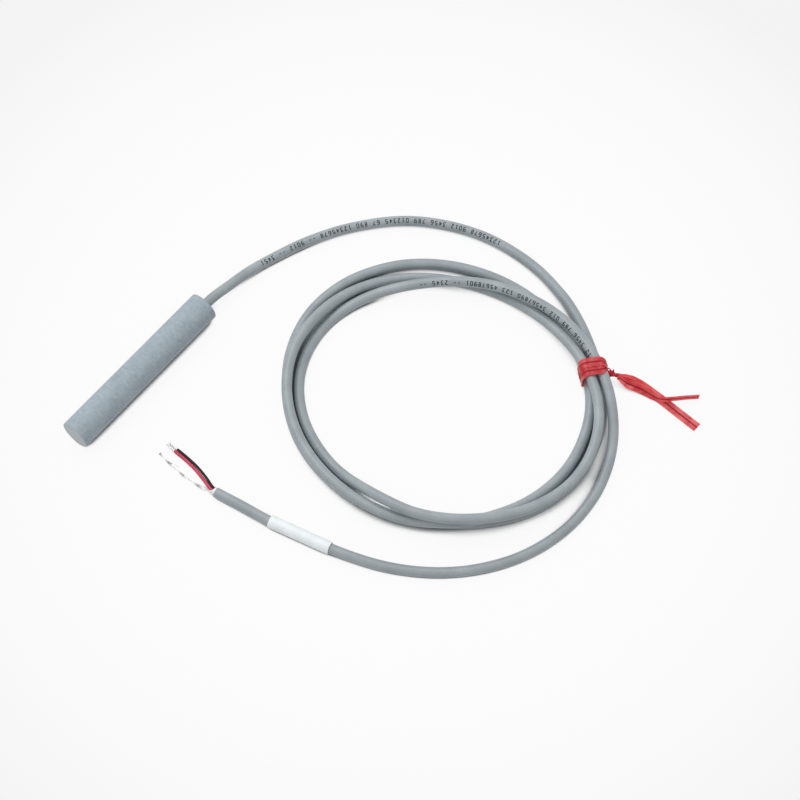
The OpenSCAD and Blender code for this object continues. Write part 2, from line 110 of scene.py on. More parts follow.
def throughPoints(points, step, finer=5, fewest=4):
    # centripetal curve through the points, cut into even steps
    pts = [Vector(p) for p in points]
    pts = [pts[0] * 2 - pts[1]] + pts + [pts[-1] * 2 - pts[-2]]
    fine = []
    for a, b, c, d in zip(pts, pts[1:], pts[2:], pts[3:]):
        t1 = sqrt((b - a).length)
        t2 = t1 + sqrt((c - b).length)
        t3 = t2 + sqrt((d - c).length)
        count = max(fewest, int((c - b).length / step * finer))
        for i in range(count):
            t = mix(t1, t2, i / count)
            ab = a.lerp(b, t / t1)
            bc = b.lerp(c, (t - t1) / (t2 - t1))
            cd = c.lerp(d, (t - t2) / (t3 - t2))
            abc = ab.lerp(bc, t / t2)
            bcd = bc.lerp(cd, (t - t1) / (t3 - t1))
            fine.append(abc.lerp(bcd, (t - t1) / (t2 - t1)))
    fine.append(pts[-2])
    return evenSteps(fine, step)


def evenSteps(line, step, least=1e-9):
    runs = runsOf(line)
    count = max(2, round(runs[-1] / step))
    out, k = [], 0
    for i in range(count + 1):
        s = runs[-1] * i / count
        while k < len(runs) - 2 and runs[k + 1] < s:
            k += 1
        out.append(line[k].lerp(line[k + 1], (s - runs[k]) / max(runs[k + 1] - runs[k], least)))
    return out


def smoothed(path, rounds, pull=0.5, push=-0.51):
    # takes out kinks of up to about 15 mm and leaves wider bends
    for k in range(2 * rounds):
        share = push if k % 2 else pull
        inner = [p + ((a + b) / 2 - p) * share for a, p, b in zip(path, path[1:], path[2:])]
        path = [path[0]] + inner + [path[-1]]
    return path


def aroundOf(way, face=upright):
    # the two directions across a way: to the side, and up on the face's side
    side = face.cross(way).normalized()
    return side, way.cross(side)


def framesOf(path, faces=None):
    # point, way, side and up at each step of a route; up follows the faces, if given
    out = []
    for i, p in enumerate(path):
        way = (path[min(i + 1, len(path) - 1)] - path[max(i - 1, 0)]).normalized()
        out.append((p, way, *aroundOf(way, faces[i] if faces else upright)))
    return out


def sweep(frames, sections):
    # closed tube of verts and faces; a section's points lie to the side and up
    n = len(sections[0])
    verts = [p + side * a + up * b for (p, way, side, up), ring in zip(frames, sections) for a, b in ring]
    last = len(sections) - 1
    faces = [(i * n + j, i * n + (j + 1) % n, (i + 1) * n + (j + 1) % n, (i + 1) * n + j)
             for i in range(last) for j in range(n)]
    faces += [tuple(range(n - 1, -1, -1)), tuple(last * n + j for j in range(n))]
    return verts, faces


def anglesOf(sides):
    return [j * 2 * pi / sides for j in range(sides)]


def circle(radius, sides):
    return [(radius * sin(a), radius * cos(a)) for a in anglesOf(sides)]


def tubeOf(line, radius, sides=8):
    return sweep(framesOf(line), [circle(radius, sides)] * len(line))


def closeEnd(frames, sections, ends):
    # adds rings past the last section: how far ahead of it, and their radius
    end, way, side, up = frames[-1]
    for ahead, radius in ends:
        frames.append((end + way * ahead, way, side, up))
        sections.append(circle(radius, len(sections[0])))


def lathe(profile, origin, way, sides, wobble=None):
    # turns (along, radius) points round a line; a radius of 0 becomes a pole
    way = Vector(way).normalized()
    side, up = aroundOf(way)
    verts, rows = [], []
    for k, (along, radius) in enumerate(profile):
        if radius == 0:
            rows.append([len(verts)])
            verts.append(Vector(origin) + way * along)
            continue
        rows.append(list(range(len(verts), len(verts) + sides)))
        for a in anglesOf(sides):
            da, dr = wobble(k, a) if wobble else (0, 0)
            out = side * sin(a) + up * cos(a)
            verts.append(Vector(origin) + way * (along + da) + out * (radius + dr))
    faces = []
    for a, b in zip(rows, rows[1:]):
        for j in range(sides):
            ring = [a[j % len(a)], a[(j + 1) % len(a)], b[(j + 1) % len(b)], b[j % len(b)]]
            faces.append(tuple(dict.fromkeys(ring)))
    return verts, faces


def joined(parts):
    verts, faces = [], []
    for v, f in parts:
        base = len(verts)
        verts += v
        faces += [tuple(base + i for i in ring) for ring in f]
    return verts, faces


def meshPiece(name, shape, material, smooth=True, sharp=None):
    verts, faces = shape
    mesh = bpy.data.meshes.new(name)
    mesh.from_pydata([v * mm for v in verts], [], faces)
    bm = bmesh.new()
    bm.from_mesh(mesh)
    bmesh.ops.recalc_face_normals(bm, faces=bm.faces)
    bm.to_mesh(mesh)
    bm.free()
    for face in mesh.polygons:
        face.use_smooth = smooth
    if sharp:
        mesh.set_sharp_from_angle(angle=radians(sharp))
    mesh.materials.append(material)
    piece = addObject(name, mesh)
    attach(piece, "root")
    return piece


def setMarks(piece, name, values):
    # one value for each vertex, which the finish reads
    piece.data.attributes.new(name, "FLOAT", "POINT").data.foreach_set("value", values)


# nodes of a finish
def startFinish(name, look):
    finish = bpy.data.materials.new(name)
    finish.use_nodes = True
    shader = finish.node_tree.nodes["Principled BSDF"]
    sockets = {"Base Color": (*look["colour"], 1), "Roughness": look["rough"],
               "Specular IOR Level": look.get("gloss", 0.5), "Metallic": look.get("metal", 0.0)}
    for socket, value in sockets.items():
        shader.inputs[socket].default_value = value
    return finish, finish.node_tree, shader


def addNode(tree, kind, values=None, **settings):
    made = tree.nodes.new("ShaderNode" + kind)
    for key, value in settings.items():
        setattr(made, key, value)
    for socket, value in (values or {}).items():
        if isinstance(value, bpy.types.NodeSocket):
            tree.links.new(value, made.inputs[socket])
        else:
            made.inputs[socket].default_value = value
    return made


def markOf(tree, name):
    return addNode(tree, "Attribute", attribute_name=name).outputs["Fac"]


def noiseOf(tree, place, scale, detail, rough):
    values = {"Vector": place, "Scale": scale, "Detail": detail, "Roughness": rough}
    return addNode(tree, "TexNoise", values).outputs["Fac"]


def grain(tree, size, detail=3.0, rough=0.5):
    # noise whose marks are about size mm across
    return noiseOf(tree, addNode(tree, "TexCoord").outputs["Object"], 1 / (size * mm), detail, rough)


# these take the tree from a socket or node they are given
def feed(node, socket, value):
    node.id_data.links.new(value, node.inputs[socket])


def maths(operation, a, b):
    return addNode(a.id_data, "Math", {0: a, 1: b}, operation=operation).outputs[0]


def sums(a, b, share=1.0):
    return maths("ADD", a, maths("MULTIPLY", b, share))


def span(value, low, high, fromLow=0.3, fromHigh=0.7, kind="LINEAR"):
    values = {"Value": value, "From Min": fromLow, "From Max": fromHigh, "To Min": low, "To Max": high}
    return addNode(value.id_data, "MapRange", values, interpolation_type=kind).outputs["Result"]


def tint(low, high, share):
    # low and high are colours or sockets
    low, high = [c if isinstance(c, bpy.types.NodeSocket) else (*c, 1) for c in (low, high)]
    return addNode(share.id_data, "Mix", {"Factor": share, 6: low, 7: high}, data_type="RGBA").outputs[2]


def dress(shader, look, colour, uneven, height, strength=1.0):
    # colour, roughness that follows a noise, and bumps of a height
    less, more = look["roughness"]
    feed(shader, "Base Color", colour)
    feed(shader, "Roughness", span(uneven, look["rough"] - less, look["rough"] + more))
    bump = {"Height": height, "Distance": look["bump"] * mm, "Strength": strength}
    feed(shader, "Normal", addNode(shader.id_data, "Bump", bump).outputs["Normal"])


def setSurface(output, share, first, second):
    values = {"Fac": share, 1: first.outputs[0], 2: second.outputs[0]}
    feed(output, "Surface", addNode(share.id_data, "MixShader", values).outputs[0])


def lookOf(colour, rough, blotch, vary, fine, bump, **more):
    # blotch, fine and bump in mm; vary is the share by which blotches differ from the colour
    return dict(colour=colour, rough=rough, roughness=plainMix["roughness"], blotch=blotch, vary=vary,
                fine=fine, bump=bump, **more)


plainMix = {
    "detail": 4,
    "fineShare": 0.4,
    "tones": (0.5, 0.9),  # sum of the noises at which the colour is darkest and lightest
    "roughness": (0.08, 0.1),  # how far it goes below and above
}


def plainFinish(name, look):
    # moulded, cast or coated surface: blotches of colour, uneven gloss and a fine grain
    finish, tree, shader = startFinish(name, look)
    blotch = grain(tree, look["blotch"], plainMix["detail"])
    fine = grain(tree, look["fine"], plainMix["detail"])
    low = [c * (1 - look["vary"]) for c in look["colour"]]
    high = [min(1, c * (1 + look["vary"])) for c in look["colour"]]
    share = span(sums(blotch, fine, plainMix["fineShare"]), 0, 1, *plainMix["tones"])
    dress(shader, look, tint(low, high, share), uneven=fine, height=fine)
    return finish


# cable: routes behind the rear face, in mm
cable = {
    "diameter": 4.4,
    "shown": 4.22,  # drawn a little slimmer than its nominal size
    "pitch": 5.0,
    "sides": 28,
    "step": 1.5,
    "smoothing": 60,
    "wall": 0.55,
    "lip": [(0.06, 0.05), (0.09, 0.16)],  # rings ahead of the cut, in from the outside
    "hollow": [(0.05, -0.06), (-0.05, 0.0), (-1.6, 0.05)],  # and in from the bore
    "sleeveLift": 0.45,
    "coreLay": 42.0,  # the cores' twist shows faintly through the jacket
    "ripple": 0.012,
    "leadout": [  # behind, sideways, share of the barrel's axis height
        (0, 0, 1), (-4, 0, 1), (-9, 0.5, 0.84), (-15, 1, 0.55), (-20.3, 1.5, 0.34), (-25.4, 2.3, 0.17),
        (-30.4, 3.4, 0.05), (-36, 5.2, 0), (-46, 8.7, 0), (-55, 12.8, 0), (-64, 17.9, 0), (-72, 23.6, 0),
        (-79.6, 30.1, 0), (-86.2, 37.4, 0), (-92, 46.2, 0), (-96.6, 55.5, 0), (-99.9, 65.3, 0),
        (-101.7, 75.2, 0), (-102.3, 85, 0), (-101.8, 94, 0)],
    "middle": (-36.2, 99.5),
    "layAngle": 144.0,
    "loopRadius": 56.3,
    "oval": 4.8,
    "ovalAxis": 121.0,
    "start": -24,
    "stop": 1126,
    "turnStep": 5,
    "lay": [  # degrees travelled, cable widths out, cable heights up
        (-45, 2.66, 0), (-30, 1.69, 0), (-20, 1.04, 0), (-10, 0.45, 0.08), (0, 0.11, 0.2), (15, 0.02, 0.15),
        (30, 0.06, 0), (45, 0.3, 0), (60, 0.55, 0), (75, 0.67, 0), (90, 0.69, 0), (105, 0.74, 0),
        (120, 0.87, 0), (140, 0.9, 0), (165, 0.84, 0), (195, 0.88, 0), (210, 1.16, 0), (225, 1.49, 0),
        (240, 1.64, 0), (255, 1.61, 0), (270, 1.48, 0), (290, 1.07, 0), (310, 0.5, 0), (325, -0.01, 0),
        (345, -0.73, 0.02), (360, -0.96, 0.2), (375, -0.99, 0.15), (395, -0.93, 0), (415, -0.42, 0.47),
        (435, 0.28, 0.95), (460, 1, 1.05), (480, 1.35, 1.05), (495, 1.32, 1.05), (520, 1.01, 1.05),
        (540, 0.87, 1.05), (570, 0.8, 1.05), (585, 0.6, 0.9), (600, 0.6, 0.35), (615, 0.48, 0),
        (630, 0.16, 0), (640, -0.05, 0), (665, -0.55, 0), (690, -1.11, 0.45), (705, -1.33, 1),
        (720, -1.12, 1.22), (735, -0.57, 1.15), (750, -0.01, 1.05), (770, 0.6, 1.05), (790, 0.99, 1.6),
        (810, 1.18, 2.12), (825, 1.2, 2.2), (838, 1.05, 2.12), (850, 0.66, 1.92), (862, 0.18, 1.1),
        (875, -0.1, 0.22), (888, -0.19, 0), (905, -0.15, 0), (920, -0.09, 0), (935, -0.13, 0),
        (950, -0.25, 0), (975, -0.68, 0.5), (990, -0.78, 0.8), (1000, -0.72, 0.95), (1020, -0.52, 1.1),
        (1045, -0.51, 1.35), (1065, -0.34, 1.4), (1080, -0.05, 1.25), (1095, 0.47, 1.1), (1110, 1.28, 0.25),
        (1125, 2.13, 0), (1140, 2.98, 0)],
    "tail": [  # behind, sideways, share of the sleeve's lift
        (-28, 171.7, 0), (-17, 170.4, 0), (-7, 167.6, 0), (2.5, 163.3, 0), (11.5, 157.5, 0),
        (19.5, 150.7, 0), (26.8, 142.6, 0), (33, 133.7, 0), (38, 124.5, 0.2), (41.7, 115.6, 0.7),
        (44.3, 108.3, 1), (48.15, 94, 1), (52, 79.7, 1), (53.6, 70.5, 0.5), (56.2, 57.2, 0)],
    "colour": (0.313, 0.355, 0.38),
    "worn": (0.372, 0.413, 0.437),
    "dark": 0.95,  # share of the colour where it is least worn
    "wear": (0.58, 1.0),  # sum of the noises at which the wear begins and is full
    "rough": 0.35,
    "roughness": (0.08, 0.14),
    "blotchSize": 9.0,
    "scuffSize": 1.4,
    "grainSize": 0.16,
    "bump": 0.035,
}
cableR = cable["diameter"] / 2
shownR = cable["shown"] / 2


def eased(u, column):
    # smooth curve through a column of the lay
    at, value = [row[0] for row in cable["lay"]], [row[column] for row in cable["lay"]]
    k = max(i for i in range(len(at) - 1) if at[i] <= u)
    h = at[k + 1] - at[k]
    s = (u - at[k]) / h

    def slope(i):
        a, b = max(i - 1, 0), min(i + 1, len(at) - 1)
        return (value[b] - value[a]) / (at[b] - at[a])

    return ((2 * s ** 3 - 3 * s ** 2 + 1) * value[k] + (s ** 3 - 2 * s ** 2 + s) * h * slope(k)
            + (3 * s ** 2 - 2 * s ** 3) * value[k + 1] + (s ** 3 - s ** 2) * h * slope(k + 1))


def loopPoint(u):
    turn = radians(cable["layAngle"] - u)
    radius = (cable["loopRadius"] + cable["pitch"] * eased(u, 1)
              + cable["oval"] * cos(2 * (turn - radians(cable["ovalAxis"]))))
    lift = cableR + cable["pitch"] * max(eased(u, 2), 0)
    x, y = cable["middle"]
    return rear + Vector((x + radius * cos(turn), y + radius * sin(turn), lift))


def loopWay(u, reach=0.5):
    way = loopPoint(u + reach) - loopPoint(u - reach)
    way.z = 0
    return way.normalized()


def cableRoute():
    d = cable["diameter"]
    start, stop = cable["start"], cable["stop"]
    points = [rear + Vector((x, y, cableR + share * (axisZ - cableR))) for x, y, share in cable["leadout"]]
    points += [loopPoint(start) - loopWay(start) * d]
    points += [loopPoint(u) for u in range(start, stop + 1, cable["turnStep"])]
    points += [loopPoint(stop) + loopWay(stop) * d]
    points += [rear + Vector((x, y, cableR + share * cable["sleeveLift"])) for x, y, share in cable["tail"]]
    path = smoothed(throughPoints(points, cable["step"]), cable["smoothing"])
    return [Vector((p.x, p.y, max(p.z, cableR + cable["ripple"]))) for p in path]


def cableFinish():
    finish, tree, shader = startFinish("cableJacket", cable)
    blotch = grain(tree, cable["blotchSize"])
    scuff = grain(tree, cable["scuffSize"], detail=5, rough=0.65)
    fine = grain(tree, cable["grainSize"])
    low = [c * cable["dark"] for c in cable["colour"]]
    wear = span(sums(blotch, scuff, share=0.5), 0, 1, *cable["wear"])
    height = sums(fine, scuff, share=0.8)
    dress(shader, cable, tint(low, cable["worn"], wear), uneven=scuff, height=height, strength=0.6)
    return finish


def cableShape(path):
    sections = []
    for run in runsOf(path):
        twist = 2 * pi * run / cable["coreLay"] * 2
        ring = []
        for a in anglesOf(cable["sides"]):
            radius = shownR + cable["ripple"] * sin(2 * a - twist)
            ring.append((radius * sin(a), radius * cos(a)))
        sections.append(ring)
    # cut end: a rounded lip, the jacket's wall and a short hollow
    frames = framesOf(path)
    ends = [(ahead, shownR - less) for ahead, less in cable["lip"]]
    ends += [(ahead, shownR - cable["wall"] - less) for ahead, less in cable["hollow"]]
    closeEnd(frames, sections, ends)
    return sweep(frames, sections)


cablePath = cableRoute()
cablePiece = meshPiece("cable", cableShape(cablePath), cableFinish(), sharp=50)
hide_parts("cable_leadout", "cable_coil", "cable_tail")
jacketEnd, jacketWay, jacketSide, jacketUp = framesOf(cablePath)[-1]

# print: plain numerals and dashes in rows along the jacket
marking = {
    "rows": [  # from and to along the cable, roll from the side that faces up and out, in degrees
        {"from": 29.0, "to": 134.5, "roll": (-2, -2),
         "text": "12345678 9012 3456 789 012345 67 890 12345678 -- 9012 -- 345"},
        {"from": 1216.0, "to": 1300.0, "roll": (12, 43),
         "text": "12 3456 789 012 34567890 123 45678901 -- 2345 -- 678"}],
    "faces": (0.31, 0.27, 0.91),
    "height": 1.65,
    "pitch": 1.72,
    "stroke": 0.31,
    "thick": 0.08,
    "lift": 0.03,
    "cuts": 3,  # of each straight, so that it follows the jacket
    "look": lookOf((0.02, 0.022, 0.026), rough=0.6, blotch=1.2, vary=0.3, fine=0.15, bump=0.01,
                   gloss=0.2),
    "gridHeight": 4,
    "strokes": {  # corners on a grid 2 wide and 4 high
        "0": [[(0, 0), (2, 0), (2, 4), (0, 4), (0, 0.3)]],
        "1": [[(0.3, 3.2), (1, 4), (1, 0)], [(0.3, 0), (1.7, 0)]],
        "2": [[(0, 3.4), (0.6, 4), (1.5, 4), (2, 3.3), (2, 2.6), (0, 0), (2, 0)]],
        "3": [[(0, 4), (2, 4), (1, 2.4), (2, 1.6), (2, 0.6), (1.4, 0), (0, 0)]],
        "4": [[(1.5, 0), (1.5, 4), (0, 1.3), (2, 1.3)]],
        "5": [[(2, 4), (0, 4), (0, 2.3), (1.5, 2.3), (2, 1.7), (2, 0.6), (1.4, 0), (0, 0)]],
        "6": [[(1.8, 4), (0.6, 4), (0, 3), (0, 0), (2, 0), (2, 2), (0.2, 2)]],
        "7": [[(0, 4), (2, 4), (0.7, 0)]],
        "8": [[(0.2, 0), (1.8, 0), (1.8, 2), (0.2, 2), (0.2, 4), (1.8, 4), (1.8, 2.2)],
              [(0.2, 1.8), (0.2, 0.2)]],
        "9": [[(0.2, 0), (1.4, 0), (2, 1), (2, 4), (0, 4), (0, 2), (1.8, 2)]],
        "-": [[(0.1, 2), (1.9, 2)]],
        " ": []},
}


def markShape(path):
    runs = runsOf(path)
    faces = Vector(marking["faces"])
    unit, middle = marking["height"] / marking["gridHeight"], marking["gridHeight"] / 2
    cuts = marking["cuts"]
    half, thick = marking["stroke"] / 2, marking["thick"]
    section = [(-half, 0), (half, 0), (half, -thick), (-half, -thick)]

    def spot(along, around, roll):
        # a place on the jacket, and the way straight out of it
        k = min(range(len(runs)), key=lambda i: abs(runs[i] - along))
        k = min(max(k, 1), len(path) - 2)
        way = (path[k + 1] - path[k - 1]).normalized()
        out = (faces - way * faces.dot(way)).normalized()
        angle = radians(roll) + around / shownR
        out = out * cos(angle) + way.cross(out) * sin(angle)
        return path[k] + way * (along - runs[k]) + out * (shownR + marking["lift"]), out

    parts = []
    for row in marking["rows"]:
        count = int((row["to"] - row["from"]) / marking["pitch"])
        for k in range(count):
            along = row["to"] - k * marking["pitch"]  # read from the far end, upside down in the view
            roll = mix(row["roll"][1], row["roll"][0], k / count)
            for stroke in marking["strokes"][row["text"][k % len(row["text"])]]:
                corners = [Vector((x, y, 0)) for x, y in stroke]
                line = [a.lerp(b, i / cuts) for a, b in zip(corners, corners[1:]) for i in range(cuts)]
                line.append(corners[-1])
                placed = [spot(along - q.x * unit, (q.y - middle) * unit, roll) for q in line]
                frames = framesOf(*zip(*placed))
                parts.append(sweep(frames, [section] * len(frames)))
    return joined(parts)


ink = plainFinish("printInk", marking["look"])
printPiece = meshPiece("jacketPrint", markShape(cablePath), ink, smooth=False)
print("print:", len(printPiece.data.polygons), "faces")

# leads: where each leaves the cut jacket (to the side and up), then its route behind the rear face
leads = {
    "inside": 6.2,  # length hidden in the jacket
    "straight": 1.5,
    "step": 0.5,
    "sides": 18,
    # ahead of the insulation's cut, share of its radius
    "cutEnd": [(0.05, 0.97), (0.1, 0.9), (0.11, 0.62)],
    "uneven": 0.02,
    "unevenRate": 0.6,
    "black": {
        "wide": 1.1, "seed": 5, "seat": (-1, 0.5),
        "route": [(54.1, 50, 2.5), (52.9, 44, 2), (52.4, 38, 1.5), (52.3, 33, 1.2)]},
    "red": {
        "wide": 1.4, "seed": 3, "seat": (0.2, 0.4),
        "route": [(55.4, 50, 2.1), (54.17, 44, 1.75), (53.6, 38.3, 1.35), (53.45, 32.6, 1.05)]},
    "tip": {
        "length": 4.5, "inside": 0.6, "step": 0.25,
        "strands": 6, "strand": 0.27, "around": 0.25, "lay": 6.5,  # round a middle strand
        "splay": 0.6, "splayRange": (0.7, 1.0),
        "stagger": 2},  # steps by which every other strand may end short
    "drain": {
        "wide": 0.75, "seat": (0.9, -0.8),
        "route": [(57.9, 53, 1), (58.35, 48.5, 0.8), (58.85, 41.5, 0.7), (58.6, 34, 0.7),
                  (58.1, 28.6, 0.7)],
        "strands": 5, "strandRadius": 0.13, "spacing": 0.2,
        "lay": 15.0, "phase": 0.4,  # a flat bundle that turns over every half lay
        "sway": 0.06, "swayRate": 0.35, "swayApart": 3.1,
        "dark": (49.5, 41.5, 34.0, 28.6),  # painted shade: where the strands are darkened for their sides turned from the light, sideways from the barrel
        "shadeReach": 2.3, "paintedShade": (0.42, 0.42, 0.425), "paintedShadeEdge": (0.1, 0.8),
        "loose": [(58.65, 33.2, 0.75), (58.35, 34.8, 1.2), (57.8, 36.4, 1.5), (57.55, 38.6, 1.25)],
        "looseStep": 0.4},
    "film": {
        "radius": 1.72, "thick": 0.07, "length": 1.1, "sides": 40,
        "tuck": 1.2,  # length hidden in the jacket
        "narrow": [(0.6, 0.05), (1.0, 0.12)],  # share of the length, how much narrower there
        "tear": 0.55, "tearBack": 0.25, "tearSize": 1.6, "lean": 0.06,
        "tongue": 2.6, "tongueAngle": 1.0, "tongueWidth": 0.5, "tongueLean": 0.1},
    "filmLook": lookOf((0.8, 0.82, 0.82), rough=0.4, blotch=0.7, vary=0.1, fine=0.15, bump=0.02),
    "redLook": lookOf((0.52, 0.035, 0.085), rough=0.38, blotch=3.0, vary=0.18, fine=0.2, bump=0.012),
    "blackLook": lookOf((0.012, 0.011, 0.012), rough=0.42, blotch=3.0, vary=0.25, fine=0.2, bump=0.012,
                        gloss=0.25),
    "metalLook": lookOf((0.86, 0.86, 0.85), rough=0.32, blotch=0.8, vary=0.12, fine=0.12, bump=0.01,
                        metal=0.5),
}


def leadRoute(lead):
    seat = jacketEnd + jacketSide * lead["seat"][0] + jacketUp * lead["seat"][1]
    points = [seat - jacketWay * leads["inside"], seat - jacketWay, seat + jacketWay * leads["straight"]]
    points += [rear + Vector(p) for p in lead["route"]]
    return throughPoints(points, leads["step"])


def coreShape(path, radius):
    # insulated core with a slightly pinched, rounded cut at its end
    frames = framesOf(path)
    radii = [radius * (1 + leads["uneven"] * noise.noise(p * leads["unevenRate"])) for p in path]
    sections = [circle(r, leads["sides"]) for r in radii]
    closeEnd(frames, sections, [(ahead, radius * share) for ahead, share in leads["cutEnd"]])
    return sweep(frames, sections)


def tipShape(path, seed):
    # bare strands laid round a line, with their ends a little apart
    tip = leads["tip"]
    chance = random.Random(seed)
    frames, runs = framesOf(path), runsOf(path)
    total, count = len(frames) - 1, tip["strands"]
    parts = []
    for k in range(count + 1):
        line, stop = [], total - (chance.randint(0, tip["stagger"]) if k % 2 else 0)
        for i in range(stop + 1):
            p, way, side, up = frames[i]
            out = 0
            if k < count:
                splay = tip["splay"] * (i / total) ** 3 * chance.uniform(*tip["splayRange"])
                out = tip["around"] * (1 + splay)
            a = k * 2 * pi / count + 2 * pi * runs[i] / tip["lay"]
            line.append(p + side * out * sin(a) + up * out * cos(a))
        parts.append(tubeOf(line, tip["strand"] / 2))
    return joined(parts)


def drainShape(path):
    # bare strands side by side, turned over along the line, and one that stands off
    drain = leads["drain"]
    count = drain["strands"]
    lines = [[] for k in range(count)]
    for run, (p, way, side, up) in zip(runsOf(path), framesOf(path)):
        turn = 2 * pi * run / drain["lay"] + drain["phase"]
        flat = side * cos(turn) + up * sin(turn)
        across = up * cos(turn) - side * sin(turn)
        for k, line in enumerate(lines):
            out = (k - (count - 1) / 2) * drain["spacing"]
            place = Vector((run * drain["swayRate"], k * drain["swayApart"], 0.5))
            sway = drain["sway"] * noise.noise(place)
            line.append(p + flat * (out + sway) + across * sway)
    lines.append(throughPoints([rear + Vector(p) for p in drain["loose"]], drain["looseStep"]))
    return joined([tubeOf(line, drain["strandRadius"]) for line in lines])


def filmShape():
    # torn end of the wrap inside the jacket
    film = leads["film"]
    r, t, length, back = film["radius"], film["thick"], film["length"], -film["tuck"]
    profile = [(back, r - t), (back, r), (0, r)]
    profile += [(length * share, r - less) for share, less in film["narrow"]]
    profile += [(length, profile[-1][1] - t), (0, r - t), (back, r - t)]

    def wobble(k, angle):
        spot = Vector((sin(angle) * film["tearSize"], cos(angle) * film["tearSize"], 0.3))
        ahead = max(profile[k][0], 0) / length
        tongue = film["tongue"] * exp(-((angle - film["tongueAngle"]) / film["tongueWidth"]) ** 2)
        tear = film["tear"] * noise.noise(spot) - film["tearBack"] + tongue
        lean = film["lean"] * noise.noise(spot * 2) - film["tongueLean"] * tongue
        return ahead * tear, ahead * lean

    return lathe(profile, jacketEnd, jacketWay, film["sides"], wobble)


def drainFinish():
    finish = plainFinish("drainStrands", leads["metalLook"])
    tree = finish.node_tree
    shader = tree.nodes["Principled BSDF"]
    bright = shader.inputs["Base Color"].links[0].from_socket
    # painted shade: the strands turn grey where their sides turned from the light would show
    share = span(markOf(tree, "paintedShade"), 0, 1, *leads["drain"]["paintedShadeEdge"])
    feed(shader, "Base Color", tint(bright, leads["drain"]["paintedShade"], share))
    return finish


# painted shade: how strongly a place along the drain is darkened
def paintedShadeAt(y):
    drain = leads["drain"]
    return max(0, 1 - min(abs(y - d) for d in drain["dark"]) / drain["shadeReach"])


def makeLeads():
    tinned = plainFinish("tinnedStrands", leads["metalLook"])
    made = {}
    for name in ("black", "red"):
        lead, tip = leads[name], leads["tip"]
        finish = plainFinish(name + "Insulation", leads[name + "Look"])
        path = leadRoute(lead)
        shape = coreShape(path, lead["wide"] / 2)
        core = meshPiece(name + "Lead", shape, finish, sharp=60)
        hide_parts(name + "_lead")
        way = (path[-1] - path[-2]).normalized()
        tipPath = evenSteps([path[-1] - way * tip["inside"], path[-1] + way * tip["length"]], tip["step"])
        strands = meshPiece(name + "Tip", tipShape(tipPath, lead["seed"]), tinned)
        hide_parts(name + "_tip")
        made[name] = (core, path, strands)
    path = leadRoute(leads["drain"])
    drain = meshPiece("drainWire", drainShape(path), drainFinish())
    setMarks(drain, "paintedShade", [paintedShadeAt(v.co.y / mm) for v in drain.data.vertices])
    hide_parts("drain_wire")
    made["drain"] = (drain, path, None)
    wrap = plainFinish("wrapFilm", leads["filmLook"])
    film = meshPiece("jacketFilm", filmShape(), wrap, sharp=60)
    return made, film


leadPieces, filmPiece = makeLeads()
print("leads:", ", ".join(leadPieces))

# barrel: turned shell with rounded rims and its bore
barrel = {
    "wall": 1.5,
    "window": 2.0,
    "rim": 0.45,
    "boreRim": 0.2,
    "sides": 144,
    "steps": (8, 6, 40, 6),  # in the bore, round the rims, along the side and over the face
    "faceEdge": 0.12,  # the face's finish begins this far behind it
    "colour": (0.26, 0.316, 0.355),
    "light": (0.4, 0.466, 0.51),
    "face": (0.49, 0.535, 0.562),
    "faceDark": 0.86,
    "tones": (0.95, 1.6),
    "rough": 0.55,
    "roughness": (0.1, 0.12),
    "gloss": 0.45,
    "lines": (0.26, 1.9),  # size of the tool marks along the barrel and round it, in mm
    "scuffs": (1.1, 1.5),
    "patches": (8.0, 6.0),
    "streaks": (0.3, 6.0),
    "streakShare": 0.45,
    "streakTones": (0.56, 0.7),
    "bump": 0.03,
}


def barrelShape():
    rim, boreRim = barrel["rim"], barrel["boreRim"]
    boreSteps, rimSteps, sideSteps, faceSteps = barrel["steps"]
    front, back = barrelHigh.x, barrelLow.x
    outer = (barrelHigh.z - barrelLow.z) / 2
    bore = outer - barrel["wall"]
    inside = front - barrel["window"]
    arc = [k * pi / 2 / rimSteps for k in range(rimSteps + 1)]
    profile = [(inside, 0), (inside, bore / 2), (inside, bore)]
    profile += [(mix(inside, back + boreRim, k / boreSteps), bore) for k in range(1, boreSteps + 1)]
    profile += [(back, bore + boreRim)]
    profile += [(back + rim * (1 - sin(a)), outer - rim * (1 - cos(a))) for a in reversed(arc)]
    profile += [(mix(back + rim, front - rim, k / sideSteps), outer) for k in range(1, sideSteps)]
    profile += [(front - rim * (1 - sin(a)), outer - rim * (1 - cos(a))) for a in arc]
    profile += [(front, outer * k / faceSteps) for k in range(faceSteps - 1, 0, -1)] + [(front, 0)]
    return lathe(profile, (0, 0, axisZ), (1, 0, 0), barrel["sides"])


